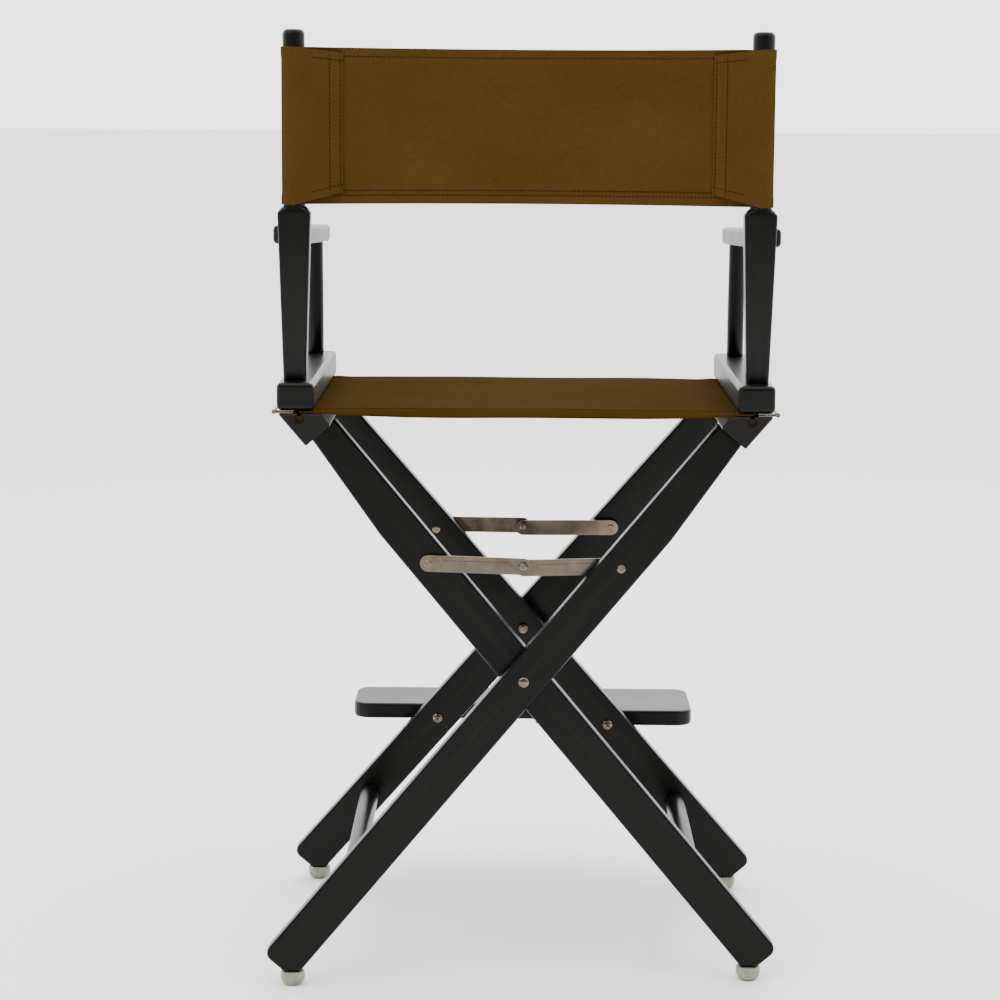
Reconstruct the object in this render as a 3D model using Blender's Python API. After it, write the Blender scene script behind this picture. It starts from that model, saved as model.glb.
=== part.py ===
"""Folding director chair, counter height, with a lift-up footrest.

Metres, +Z up, +X to the sitter's right, +Y to the chair's front.  The origin is
on the floor, under the centre of the whole chair.  Two crossed frames turn on
bolts that lie along Y: the outer frame stands left and rises to the right seat
rail, and the inner frame nests inside it the other way round.
"""
from math import acos, asin, atan2, cos, pi, radians, sin

import bmesh
import bpy
from mathutils import Matrix, Vector

# Play between pieces that touch, and how far a cutting tool runs past what it cuts
GAP = 0.0003
OVERRUN = 0.01

# Sizes that the others follow
CROSS_Z = 0.3374                # height of the crossing bolts
RAIL_LENGTH = 0.360             # depth of the seat

# Crossed frames: the leg's plane is (u, v), u up along the leg from the crossing
LEG_ANGLE = radians(49.6)
LEG_WIDTH = 0.044
LEG_THICK = 0.021
LEG_SPLAY = 0.09                # metres apart in Y for each metre along the leg
LEG_TOP_U = 0.353
LEG_FOOT_U = (0.02136 - CROSS_Z) / sin(LEG_ANGLE)
LEG_FOOT_ROUND = 0.010
LEG_TOP_WIDTH_BELOW = 0.012     # lower edge's offset where the leg meets its rail
LEG_TAPER = 0.130
LEG_EDGE = 0.0025
TOP_RAIL_EDGE = 0.0015
OUTER_LEG_Y = RAIL_LENGTH / 2 - 0.01925     # outer leg's middle at the crossing, from mid-depth
NEST = LEG_THICK + 0.0077       # step in Y from an outer leg to an inner leg

# Top rail of a crossed frame
TOP_RAIL_ABOVE = 0.0233
TOP_RAIL_Z = CROSS_Z + 0.2966
GROOVE_X = 0.2450
GROOVE_Z = TOP_RAIL_Z - 0.0058
SEAT_DOWEL_RADIUS = 0.0034
GROOVE_RADIUS = SEAT_DOWEL_RADIUS + 0.0018
GROOVE_MOUTH = 0.0044
SEAT_DOWEL_INSET = 0.004

# Stretchers and glides
STRETCHER_U = -0.2915
STRETCHER_RADIUS = 0.0115
SOCKET_DEPTH = 0.010
GLIDE_X = -LEG_FOOT_U * cos(LEG_ANGLE) - 0.0154
GLIDE_RADIUS = 0.0135
GLIDE_HEIGHT = 0.0150
GLIDE_DOME = 0.0065             # height of the domed sole
GLIDE_FLAT = radians(60)        # where the dome gives way to the flat it stands on

# Crossing bolts
BOLT_RADIUS = 0.0030
BOLT_PLAY = 0.0003
BOLT_HEAD_RADIUS = 0.0062
BOLT_HEAD = 0.0034
BOLT_END = 0.0010                # bolt's length past its nut
HEAD_STANDOFF = 0.0009
NUT_RADIUS = 0.0064
NUT_LENGTH = 0.0042
SPACER_RADIUS = 0.0080
SPACER_TRIM = 0.0011

# Folding braces between the frames
BRACE_U = 0.163
BRACE_DROP = 0.0022             # centre rivet sits this far below the line of the ends
LINK_HEIGHT = 0.0185
LINK_THICK = 0.0016
LINK_OFFSET = 0.0053            # from the leg's face to the link
RIB_HEIGHT = 0.0075
RIB_PROUD = 0.0012
RIVET_RADIUS = 0.0025
RIVET_HEAD_RADIUS = 0.0052
RIVET_HEAD = 0.0022
RIVET_TAIL = 0.0005

# Seat rails, hinged on the top rails
RAIL_OUTER_X = 0.2695
RAIL_WIDTH = 0.0405
RAIL_HEIGHT = 0.0297
RAIL_TOP_Z = TOP_RAIL_Z + 0.0334
RAIL_EDGE = 0.005
HINGE_RADIUS = 0.0026
HINGE_X = RAIL_OUTER_X + HINGE_RADIUS + GAP
HINGE_PIN_RADIUS = 0.0012
HINGE_LEAF = 0.0009
LEAF_SETBACK = 0.0008
HINGE_REACH = 0.021
HINGE_LENGTH = 0.038
HINGE_INSET = 0.022

# Back posts, arm posts and armrests
POST_X = 0.2515
POST_INSET = 0.034              # post's middle from the rail's rear end
POST_DEPTH = 0.024
POST_FOOT_WIDTH = 0.0245
POST_SHOULDER_WIDTH = 0.036
POST_SHOULDER_Z = RAIL_TOP_Z + 0.1786
POST_NECK_Z = POST_SHOULDER_Z + 0.0095
POST_EDGE = 0.004
DOWEL_RADIUS = 0.012
DOWEL_CROWN = 0.006
POST_NECK_WIDTH = 2 * DOWEL_RADIUS + 0.002
POST_TOP_Z = POST_NECK_Z + 0.189
ARM_POST_INSET = 0.035
ARM_POST_RADIUS = 0.0098
ARM_POST_TOP_RADIUS = 0.0092
ARM_X = 0.2560
ARM_WIDTH = 0.0405
ARM_THICK = 0.0205
ARM_REAR_TOP_Z = RAIL_TOP_Z + 0.1671
ARM_FRONT_TOP_Z = ARM_REAR_TOP_Z - 0.0145
ARM_SOCKET = 0.006
ARM_CORNER = 0.009
ARM_EDGE = 0.0045

# Canvas
CANVAS = 0.0016
BACK_TOP_Z = POST_NECK_Z + 0.1705
BACK_BOTTOM_Z = POST_NECK_Z + 0.0015
SLEEVE_SEAM_X = 0.200
SLEEVE_TIP = 0.012              # from the seam to the tip of the sleeve's hollow
SLEEVE_TIP_GAP = 0.0004
SEAT_CANVAS = 0.0020
LOOP_THICK = 0.0011
LOOP_PLAY = 0.0008              # from the loop's neck to the groove's mouth
SEAT_INSET = 0.001
SEAT_Z = TOP_RAIL_Z + 0.0018    # mid-height of the taut seat, in the gap at the rails

# Footrest
FOOT_BOLT_U = -0.161
BOARD_HALF_X = 0.210
BOARD_THICK = 0.019
BOARD_DEPTH = 0.095             # from the catch side's rear edge to the front edge
BOARD_STANDOFF = 0.0125
BOARD_STEP_RADIUS = 0.088       # from the pivot bolt to the step in the rear edge
BOARD_CORNER = 0.018
BOARD_EDGE = 0.003
FOOT_BOLT_REACH = 0.034         # bolt's length inside the board
CATCH_PLAY = 0.0006
CATCH_FLARE = 0.020             # how far the catch slot opens out towards the pivot
SLEEVE_RADIUS = 0.0055

SMOOTH_ANGLE = radians(35)

FOOT_BOLT_X = -FOOT_BOLT_U * cos(LEG_ANGLE)
FOOT_BOLT_Z = CROSS_Z + FOOT_BOLT_U * sin(LEG_ANGLE)
CATCH_FACE_Y = OUTER_LEG_Y - LEG_SPLAY * FOOT_BOLT_U + LEG_THICK / 2
PIVOT_FACE_Y = CATCH_FACE_Y - NEST
BOARD_FRONT_Y = CATCH_FACE_Y + BOARD_STANDOFF + BOARD_DEPTH
FOOT_REAR_Y = OUTER_LEG_Y - LEG_SPLAY * LEG_FOOT_U + LEG_THICK / 2
MID_Y = (FOOT_REAR_Y - BOARD_FRONT_Y) / 2   # mid-depth of the seat, from the origin
HINGE_Z = (TOP_RAIL_Z + RAIL_TOP_Z - RAIL_HEIGHT) / 2
POST_Y = -RAIL_LENGTH / 2 + POST_INSET
ARM_POST_Y = RAIL_LENGTH / 2 - ARM_POST_INSET
BRACE_X = BRACE_U * cos(LEG_ANGLE)
LINK_LENGTH = (BRACE_X ** 2 + BRACE_DROP ** 2) ** 0.5
LINK_TILT = asin(BRACE_DROP / LINK_LENGTH)

BLACK_WOOD = ("black_wood", (0.010, 0.010, 0.010), 0.32, 0.0)
STEEL = ("bright_steel", (0.62, 0.61, 0.58), 0.28, 1.0)
NYLON = ("cream_nylon", (0.55, 0.52, 0.44), 0.45, 0.0)
CANVAS_BROWN = ("brown_canvas", (0.105, 0.050, 0.012), 0.85, 0.0)

RIGHT, LEFT = 1, -1             # side of the chair, along X
FRONT, REAR = 1, -1             # front or rear half, along Y


def clear_scene():
    """Remove every object of the file that the script runs in."""
    for found in list(bpy.data.objects):
        bpy.data.objects.remove(found, do_unlink=True)


def material(name, finish):
    """Make the node's own material from a (label, colour, roughness, metallic) finish."""
    made = bpy.data.materials.new(f"{name}_{finish[0]}")
    made.use_nodes = True
    shader = made.node_tree.nodes["Principled BSDF"]
    shader.inputs["Base Color"].default_value = (*finish[1], 1.0)
    shader.inputs["Roughness"].default_value = finish[2]
    shader.inputs["Metallic"].default_value = finish[3]
    return made


def mesh_object(name, bm):
    """Turn a bmesh into a linked object with its faces pointing out."""
    bmesh.ops.remove_doubles(bm, verts=bm.verts, dist=1e-6)
    bmesh.ops.recalc_face_normals(bm, faces=bm.faces)
    mesh = bpy.data.meshes.new(name)
    bm.to_mesh(mesh)
    bm.free()
    made = bpy.data.objects.new(name, mesh)
    bpy.context.scene.collection.objects.link(made)
    return made


def prism(name, outline, place):
    """Extrude a closed 2-D outline; place(a, b, end) maps a corner at end 0 or 1."""
    bm = bmesh.new()
    ends = [[bm.verts.new(place(a, b, end)) for a, b in outline] for end in (0, 1)]
    bm.faces.new(ends[0])
    bm.faces.new(list(reversed(ends[1])))
    for i in range(len(outline)):
        j = (i + 1) % len(outline)
        bm.faces.new((ends[0][i], ends[1][i], ends[1][j], ends[0][j]))
    return mesh_object(name, bm)


def turned(name, profile, origin, axis, segments=20):
    """Spin a profile of (radius, height) points about an axis through the origin."""
    turn = Vector((0, 0, 1)).rotation_difference(Vector(axis).normalized()).to_matrix()
    bm = bmesh.new()
    rings = []
    for radius, height in profile:
        ring = []
        for i in range(segments):
            angle = 2 * pi * i / segments
            point = Vector((radius * cos(angle), radius * sin(angle), height))
            ring.append(bm.verts.new(turn @ point + Vector(origin)))
        rings.append(ring)
    bm.faces.new(rings[0])
    bm.faces.new(list(reversed(rings[-1])))
    for low, high in zip(rings, rings[1:]):
        for i in range(segments):
            j = (i + 1) % segments
            bm.faces.new((low[i], low[j], high[j], high[i]))
    return mesh_object(name, bm)


def bake(target):
    """Replace an object's mesh with its mesh after its modifiers."""
    depsgraph = bpy.context.evaluated_depsgraph_get()
    mesh = bpy.data.meshes.new_from_object(target.evaluated_get(depsgraph))
    target.modifiers.clear()
    target.data = mesh


def combine(target, tool, operation="DIFFERENCE"):
    """Cut a tool out of the target, or join it on, and remove the tool."""
    step = target.modifiers.new("combine", "BOOLEAN")
    step.operation = operation
    step.solver = "EXACT"
    step.object = tool
    bake(target)
    bpy.data.objects.remove(tool, do_unlink=True)


def round_edges(target, width, segments=2, angle=30):
    """Round every edge sharper than the angle."""
    step = target.modifiers.new("round", "BEVEL")
    step.width = width
    step.segments = segments
    step.limit_method = "ANGLE"
    step.angle_limit = radians(angle)
    bake(target)


def finish_node(target, finish, pivot=None):
    """Give a node its material, smooth shading and, if it moves, its origin on its axis."""
    target.data.materials.clear()
    target.data.materials.append(material(target.name, finish))
    target.data.shade_smooth()
    target.data.set_sharp_from_angle(angle=SMOOTH_ANGLE)
    shift = Vector((0, MID_Y, 0))
    target.data.transform(Matrix.Translation(shift))
    if pivot is not None:
        origin = Vector(pivot) + shift
        target.data.transform(Matrix.Translation(-origin))
        target.location = origin
    return target


def arc(cx, cy, radius, start, end, steps):
    """Points of an arc, both ends included."""
    span = [start + (end - start) * i / steps for i in range(steps + 1)]
    return [(cx + radius * cos(a), cy + radius * sin(a)) for a in span]


def rod(name, radius, start, end, segments=20):
    """A plain cylinder between two points."""
    start, end = Vector(start), Vector(end)
    length = (end - start).length
    return turned(name, [(radius, 0), (radius, length)], start, end - start, segments)


class Frame:
    """One crossed frame: the outer one rises to the right, the inner one to the left."""

    def __init__(self, name, side, nest):
        self.name = name
        self.side = side
        self.nest = nest
        self.pivot = (0, 0, CROSS_Z)

    def leg_y(self, half, u):
        """Middle of a leg in Y at a height u along it."""
        return half * (OUTER_LEG_Y - self.nest - LEG_SPLAY * u)

    def point(self, u, v, y):
        """World place of leg coordinates."""
        x = self.side * (u * cos(LEG_ANGLE) - v * sin(LEG_ANGLE))
        return Vector((x, y, CROSS_Z + u * sin(LEG_ANGLE) + v * cos(LEG_ANGLE)))

    def normal(self, half):
        """Direction of a leg's outer face, away from mid-depth."""
        lean = LEG_SPLAY * half
        slope = Vector((self.side * cos(LEG_ANGLE), 0, sin(LEG_ANGLE))) * lean
        return (Vector((0, 1, 0)) + slope).normalized() * half

    def leg(self, half, holes):
        """A leg with its taper, foot, bolt holes and stretcher socket."""
        word = "front" if half == FRONT else "rear"
        low, high = -LEG_WIDTH / 2, LEG_WIDTH / 2
        sole = GLIDE_HEIGHT + GAP - CROSS_Z
        heel_u = (sole - low * cos(LEG_ANGLE)) / sin(LEG_ANGLE)
        toe_v = (sole - LEG_FOOT_U * sin(LEG_ANGLE)) / cos(LEG_ANGLE)
        corner = arc(LEG_FOOT_U + LEG_FOOT_ROUND, high - LEG_FOOT_ROUND,
                     LEG_FOOT_ROUND, pi / 2, pi, 4)
        outline = [(heel_u, low), (LEG_TOP_U - LEG_TAPER, low),
                   (LEG_TOP_U, -LEG_TOP_WIDTH_BELOW), (LEG_TOP_U, high), *corner,
                   (LEG_FOOT_U, toe_v)]

        def place(u, v, end):
            return self.point(u, v, self.leg_y(half, u) + (end - 0.5) * LEG_THICK)

        made = prism(f"{self.name}_{word}_leg", outline, place)
        round_edges(made, LEG_EDGE, angle=50)
        for u, radius, tilted in holes:
            middle = self.point(u, 0, self.leg_y(half, u))
            way = self.normal(half) if tilted else Vector((0, 1, 0))
            cutter = rod("hole", radius + BOLT_PLAY, middle - way * LEG_THICK,
                         middle + way * LEG_THICK, 16)
            combine(made, cutter)
        inner_y = self.leg_y(half, STRETCHER_U) - half * LEG_THICK / 2
        seat = self.point(STRETCHER_U, 0, inner_y + half * (SOCKET_DEPTH + GAP))
        mouth = self.point(STRETCHER_U, 0, inner_y - half * LEG_THICK)
        combine(made, rod("socket", STRETCHER_RADIUS + GAP, seat, mouth, 20))
        return finish_node(made, BLACK_WOOD, self.pivot)

    def top_rail(self):
        """The rail across the leg tops, with a keyhole groove for the seat canvas."""
        cut = TOP_RAIL_Z - CROSS_Z
        below, above = -LEG_TOP_WIDTH_BELOW, TOP_RAIL_ABOVE
        foot = LEG_TOP_U + GAP
        outline = [(foot, below), (foot, above),
                   ((cut - above * cos(LEG_ANGLE)) / sin(LEG_ANGLE), above),
                   ((cut - below * cos(LEG_ANGLE)) / sin(LEG_ANGLE), below)]

        def place(u, v, end):
            return self.point(u, v, (end - 0.5) * RAIL_LENGTH)

        made = prism(f"{self.name}_top_rail", outline, place)
        round_edges(made, TOP_RAIL_EDGE, 1, 50)
        open_angle = acos(GROOVE_MOUTH / 2 / GROOVE_RADIUS)
        keyhole = arc(0, 0, GROOVE_RADIUS, open_angle, -pi - open_angle, 14)
        keyhole += [(-GROOVE_MOUTH / 2, GROOVE_RADIUS * 2), (GROOVE_MOUTH / 2, GROOVE_RADIUS * 2)]

        def groove(x, z, end):
            y = (end - 0.5) * (RAIL_LENGTH + 2 * OVERRUN)
            return Vector((self.side * GROOVE_X + x, y, GROOVE_Z + z))

        combine(made, prism("groove", keyhole, groove))
        return finish_node(made, BLACK_WOOD, self.pivot)

    def stretcher(self):
        """The dowel low between the two legs."""
        reach = self.leg_y(FRONT, STRETCHER_U) - LEG_THICK / 2 + SOCKET_DEPTH
        ends = [self.point(STRETCHER_U, 0, half * reach) for half in (REAR, FRONT)]
        made = rod(f"{self.name}_stretcher", STRETCHER_RADIUS, *ends, 20)
        return finish_node(made, BLACK_WOOD, self.pivot)

    def glide(self, half):
        """The domed nylon glide under a leg."""
        word = "front" if half == FRONT else "rear"
        foot_u = (GLIDE_HEIGHT - CROSS_Z) / sin(LEG_ANGLE)
        dome = [(GLIDE_RADIUS * cos(a), GLIDE_DOME * (1 - sin(a) / sin(GLIDE_FLAT)))
                for a in [GLIDE_FLAT * (1 - i / 5) for i in range(6)]]
        profile = [*dome, (GLIDE_RADIUS, GLIDE_HEIGHT)]
        origin = (-self.side * GLIDE_X, self.leg_y(half, foot_u), 0)
        made = turned(f"{self.name}_{word}_glide", profile, origin, (0, 0, 1), 24)
        return finish_node(made, NYLON, self.pivot)

    def seat_dowel(self):
        """The thin dowel that holds the seat canvas in the groove."""
        place = [(self.side * GROOVE_X, half * (RAIL_LENGTH / 2 - SEAT_DOWEL_INSET), GROOVE_Z)
                 for half in (REAR, FRONT)]
        side = "right" if self.side == RIGHT else "left"
        made = rod(f"{side}_seat_dowel", SEAT_DOWEL_RADIUS, *place, 12)
        return finish_node(made, BLACK_WOOD, self.pivot)

    def build(self, catch_side):
        """Every piece of the frame; the footrest bolt's hole is in the front leg."""
        cross, rivet = (0, BOLT_RADIUS, False), (BRACE_U, RIVET_RADIUS, True)
        self.leg(REAR, [cross, rivet])
        self.leg(FRONT, [cross, rivet, (FOOT_BOLT_U, BOLT_RADIUS, False)])
        self.top_rail()
        self.stretcher()
        self.glide(REAR)
        self.glide(FRONT)
        self.seat_dowel()
        foot_bolt(self, catch_side)


def pan_head(radius, height):
    """Profile of a pan head, from its crown down to its flat."""
    return [(radius * 0.55, 0), (radius * 0.9, height * 0.35), (radius, height * 0.7),
            (radius, height)]


def foot_bolt(frame, is_catch):
    """The footrest's bolt in a front leg, and the sleeve that spaces the board."""
    word = "catch" if is_catch else "pivot"
    face = frame.leg_y(FRONT, FOOT_BOLT_U) + LEG_THICK / 2
    head_y = face - LEG_THICK - HEAD_STANDOFF - BOLT_HEAD
    end_y = face + BOARD_STANDOFF + FOOT_BOLT_REACH
    place = frame.point(FOOT_BOLT_U, 0, head_y)
    profile = pan_head(BOLT_HEAD_RADIUS, BOLT_HEAD)
    profile += [(BOLT_RADIUS, BOLT_HEAD), (BOLT_RADIUS, end_y - head_y)]
    made = turned(f"footrest_{word}_bolt", profile, place, (0, 1, 0), 16)
    finish_node(made, STEEL, frame.pivot)
    lean = LEG_SPLAY * SLEEVE_RADIUS + GAP
    ends = [frame.point(FOOT_BOLT_U, 0, face + lean),
            frame.point(FOOT_BOLT_U, 0, face + BOARD_STANDOFF - GAP)]
    sleeve = rod(f"footrest_{word}_spacer", SLEEVE_RADIUS, *ends, 16)
    bore = [ends[0] - Vector((0, OVERRUN, 0)), ends[1] + Vector((0, OVERRUN, 0))]
    combine(sleeve, rod("bore", BOLT_RADIUS + BOLT_PLAY, *bore, 16))
    finish_node(sleeve, STEEL, frame.pivot)


def crossing(half):
    """The bolt, nut and spacer on which the two frames turn."""
    word = "front" if half == FRONT else "rear"
    outer = OUTER_LEG_Y + LEG_THICK / 2
    inner = OUTER_LEG_Y - NEST - LEG_THICK / 2
    head = outer + HEAD_STANDOFF + BOLT_HEAD
    nut_far = inner - HEAD_STANDOFF - NUT_LENGTH
    profile = pan_head(BOLT_HEAD_RADIUS, BOLT_HEAD)
    profile += [(BOLT_RADIUS, BOLT_HEAD), (BOLT_RADIUS, head - nut_far + BOLT_END)]
    bolt = turned(f"{word}_crossing_bolt", profile, (0, half * head, CROSS_Z), (0, -half, 0), 20)
    finish_node(bolt, STEEL)
    nut = rod(f"{word}_crossing_nut", NUT_RADIUS, (0, half * nut_far, CROSS_Z),
              (0, half * (nut_far + NUT_LENGTH), CROSS_Z), 6)
    combine(nut, rod("bore", BOLT_RADIUS + BOLT_PLAY, (0, half * (nut_far - OVERRUN), CROSS_Z),
                     (0, half * inner, CROSS_Z), 16))
    finish_node(nut, STEEL)
    near = inner + LEG_THICK + SPACER_TRIM
    far = outer - LEG_THICK - SPACER_TRIM
    spacer = rod(f"{word}_crossing_spacer", SPACER_RADIUS, (0, half * near, CROSS_Z),
                 (0, half * far, CROSS_Z), 20)
    combine(spacer, rod("bore", BOLT_RADIUS + BOLT_PLAY, (0, half * inner, CROSS_Z),
                        (0, half * outer, CROSS_Z), 16))
    finish_node(spacer, NYLON)


def brace(frame, half):
    """One link of a folding brace, with the rivet that holds it to its leg."""
    word = "front" if half == FRONT else "rear"
    side = "right" if frame.side == RIGHT else "left"
    outward = frame.normal(half)
    # The outer frame's link lies inside its leg, the inner frame's link outside
    towards_link = -outward if frame.side == RIGHT else outward
    middle = frame.point(BRACE_U, 0, frame.leg_y(half, BRACE_U))
    face = middle + towards_link * (LEG_THICK / 2)
    along = Vector((-frame.side * cos(LINK_TILT), 0, -sin(LINK_TILT)))
    along = (along - towards_link * along.dot(towards_link)).normalized()
    across = towards_link.cross(along)
    if across.z < 0:
        across = -across

    def plane(a, b, depth):
        return face + along * a + across * b + towards_link * depth

    r = LINK_HEIGHT / 2
    outline = arc(0, 0, r, pi / 2, 3 * pi / 2, 8) + arc(LINK_LENGTH, 0, r, -pi / 2, pi / 2, 8)

    def place(a, b, end):
        return plane(a, b, LINK_OFFSET + end * LINK_THICK)

    link = prism(f"{word}_brace_{side}_link", outline, place)
    rib_ends = (r * 1.9, LINK_LENGTH - r * 1.9)
    h = RIB_HEIGHT / 2
    rib = arc(rib_ends[0], 0, h, pi / 2, 3 * pi / 2, 4) + arc(rib_ends[1], 0, h, -pi / 2, pi / 2, 4)

    # Both ribs are pressed towards the rear at the back and towards the front at the front
    rear_of_link = (outward - towards_link).length < 1
    rib_low = LINK_OFFSET + (LINK_THICK * 0.5 if rear_of_link else -RIB_PROUD)
    rib_high = LINK_OFFSET + (LINK_THICK + RIB_PROUD if rear_of_link else LINK_THICK * 0.5)

    def rib_place(a, b, end):
        return plane(a, b, rib_low + end * (rib_high - rib_low))

    combine(link, prism("rib", rib, rib_place), "UNION")
    start, finish = plane(0, 0, -OVERRUN), plane(0, 0, LINK_OFFSET + OVERRUN)
    combine(link, rod("hole", RIVET_RADIUS + BOLT_PLAY, start, finish, 16))
    if side == "left":
        start = plane(LINK_LENGTH, 0, -OVERRUN)
        finish = plane(LINK_LENGTH, 0, LINK_OFFSET + OVERRUN)
        combine(link, rod("hole", RIVET_RADIUS + BOLT_PLAY, start, finish, 16))
    pivot = plane(0, 0, LINK_OFFSET)
    finish_node(link, STEEL, pivot)

    back = LEG_THICK + GAP
    head = pan_head(RIVET_HEAD_RADIUS, RIVET_HEAD)
    far = back + RIVET_HEAD + LINK_OFFSET + LINK_THICK + GAP
    profile = [*head, (RIVET_RADIUS, RIVET_HEAD), (RIVET_RADIUS, far),
               (RIVET_HEAD_RADIUS * 0.8, far), (RIVET_HEAD_RADIUS * 0.6, far + RIVET_TAIL)]
    origin = face - towards_link * (back + RIVET_HEAD)
    rivet = turned(f"{word}_brace_{side}_rivet", profile, origin, towards_link, 16)
    finish_node(rivet, STEEL, frame.pivot)

    if side == "left":
        # The centre rivet stays on the left link: the linkage is opened here
        toward_out = 1 if rear_of_link else -1
        origin = plane(LINK_LENGTH, 0, LINK_OFFSET + (LINK_THICK if rear_of_link else 0))
        origin += towards_link * toward_out * (GAP + RIVET_HEAD)
        profile = [*head, (RIVET_RADIUS, RIVET_HEAD),
                   (RIVET_RADIUS, RIVET_HEAD + GAP + LINK_THICK)]
        made = turned(f"{word}_brace_center_rivet", profile, origin,
                      -towards_link * toward_out, 16)
        finish_node(made, STEEL, pivot)


def seat_rail(side, word, pivot):
    """The rail that the posts stand on, hinged on its frame's top rail."""
    outline = [(RAIL_OUTER_X - RAIL_WIDTH, RAIL_TOP_Z - RAIL_HEIGHT),
               (RAIL_OUTER_X, RAIL_TOP_Z - RAIL_HEIGHT), (RAIL_OUTER_X, RAIL_TOP_Z),
               (RAIL_OUTER_X - RAIL_WIDTH, RAIL_TOP_Z)]

    def place(x, z, end):
        return Vector((side * x, (end - 0.5) * RAIL_LENGTH, z))

    made = prism(f"{word}_seat_rail", outline, place)
    round_edges(made, RAIL_EDGE, 3)
    finish_node(made, BLACK_WOOD, pivot)


def back_post(side, word, pivot):
    """The tapered post with the dowel that holds the back canvas."""
    foot = RAIL_TOP_Z + GAP
    half = [(POST_FOOT_WIDTH / 2, foot), (POST_SHOULDER_WIDTH / 2, POST_SHOULDER_Z),
            (POST_NECK_WIDTH / 2, POST_NECK_Z)]
    outline = half + [(-x, z) for x, z in reversed(half)]

    def place(x, z, end):
        return Vector((side * POST_X + x, POST_Y + (end - 0.5) * POST_DEPTH, z))

    made = prism(f"{word}_back_post", outline, place)
    round_edges(made, POST_EDGE, 2, 50)
    r = DOWEL_RADIUS
    crown = [(r * cos(a), POST_TOP_Z - DOWEL_CROWN * (1 - sin(a)) - POST_NECK_Z + OVERRUN)
             for a in [radians(22 * i) for i in range(4)]]
    dowel = turned("dowel", [(r, 0), *crown], (side * POST_X, POST_Y, POST_NECK_Z - OVERRUN),
                   (0, 0, 1), 24)
    combine(made, dowel, "UNION")
    finish_node(made, BLACK_WOOD, pivot)


def arm_z(y):
    """Top of the armrest, which falls towards the front."""
    rear = POST_Y + POST_DEPTH / 2 + GAP
    share = (y - rear) / (RAIL_LENGTH / 2 - rear)
    return ARM_REAR_TOP_Z + share * (ARM_FRONT_TOP_Z - ARM_REAR_TOP_Z)


def armrest(side, word, pivot):
    """The armrest, from the back post to the rail's front end."""
    rear, front = POST_Y + POST_DEPTH / 2 + GAP, RAIL_LENGTH / 2
    low, high = ARM_X - ARM_WIDTH / 2, ARM_X + ARM_WIDTH / 2
    r = ARM_CORNER
    outline = [(low, rear), (high, rear), *arc(high - r, front - r, r, 0, pi / 2, 4),
               *arc(low + r, front - r, r, pi / 2, pi, 4)]

    def place(x, y, end):
        return Vector((side * x, y, arm_z(y) + (end - 1) * ARM_THICK))

    made = prism(f"{word}_armrest", outline, place)
    round_edges(made, ARM_EDGE, 2, 50)
    bottom = arm_z(ARM_POST_Y) - ARM_THICK
    base = (side * POST_X, ARM_POST_Y, bottom - ARM_THICK)
    top = (side * POST_X, ARM_POST_Y, bottom + ARM_SOCKET + GAP)
    combine(made, rod("socket", ARM_POST_TOP_RADIUS + GAP, base, top, 20))
    finish_node(made, BLACK_WOOD, pivot)
    height = bottom + ARM_SOCKET - RAIL_TOP_Z - GAP
    profile = [(ARM_POST_RADIUS, 0), (ARM_POST_RADIUS, height * 0.3), (ARM_POST_TOP_RADIUS, height)]
    post = turned(f"{word}_arm_post", profile, (side * POST_X, ARM_POST_Y, RAIL_TOP_Z + GAP),
                  (0, 0, 1), 20)
    finish_node(post, BLACK_WOOD, pivot)


def hinge(side, word, half, pivot, frame_pivot):
    """A butt hinge in the gap between the top rail and the seat rail."""
    label = f"{word}_{'front' if half == FRONT else 'rear'}_hinge"
    middle = half * (RAIL_LENGTH / 2 - HINGE_INSET)
    knuckle = HINGE_LENGTH / 3
    rail_z = RAIL_TOP_Z - RAIL_HEIGHT - GAP
    frame_z = TOP_RAIL_Z + GAP
    leaves = {"rail": (rail_z - HINGE_LEAF, rail_z, [0], pivot),
              "frame": (frame_z, frame_z + HINGE_LEAF, [-1, 1], frame_pivot)}
    for leaf, (low, high, turns, body) in leaves.items():
        def place(x, y, end):
            return Vector((side * x, middle + y, low + end * (high - low)))

        half_length = HINGE_LENGTH / 2
        outer = HINGE_X - LEAF_SETBACK
        reach = HINGE_X - HINGE_REACH
        clear = HINGE_X - HINGE_RADIUS - GAP
        cut = knuckle / 2 + GAP
        if leaf == "rail":
            outline = [(reach, -half_length), (clear, -half_length), (clear, -cut + 2 * GAP),
                       (outer, -cut + 2 * GAP), (outer, cut - 2 * GAP), (clear, cut - 2 * GAP),
                       (clear, half_length), (reach, half_length)]
        else:
            outline = [(reach, -half_length), (outer, -half_length), (outer, -cut),
                       (clear, -cut), (clear, cut), (outer, cut), (outer, half_length),
                       (reach, half_length)]
        made = prism(f"{label}_{leaf}_leaf", outline, place)
        for turn in turns:
            start = middle + turn * knuckle - (knuckle / 2 - GAP)
            end = middle + turn * knuckle + (knuckle / 2 - GAP)
            ends = [(side * HINGE_X, y, HINGE_Z) for y in (start, end)]
            combine(made, rod("knuckle", HINGE_RADIUS, *ends, 12), "UNION")
        ends = [(side * HINGE_X, middle + way * HINGE_LENGTH, HINGE_Z) for way in (-1, 1)]
        combine(made, rod("bore", HINGE_PIN_RADIUS + GAP, *ends, 12))
        finish_node(made, STEEL, body)
    ends = [(side * HINGE_X, middle + way * (HINGE_LENGTH / 2 - GAP), HINGE_Z) for way in (-1, 1)]
    finish_node(rod(f"{label}_pin", HINGE_PIN_RADIUS, *ends, 10), STEEL, frame_pivot)


def side_assembly(side, word):
    """Seat rail, posts, armrest and hinges of one side."""
    pivot = (side * HINGE_X, 0, HINGE_Z)
    seat_rail(side, word, pivot)
    back_post(side, word, pivot)
    armrest(side, word, pivot)
    for half in (REAR, FRONT):
        hinge(side, word, half, pivot, (0, 0, CROSS_Z))


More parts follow.
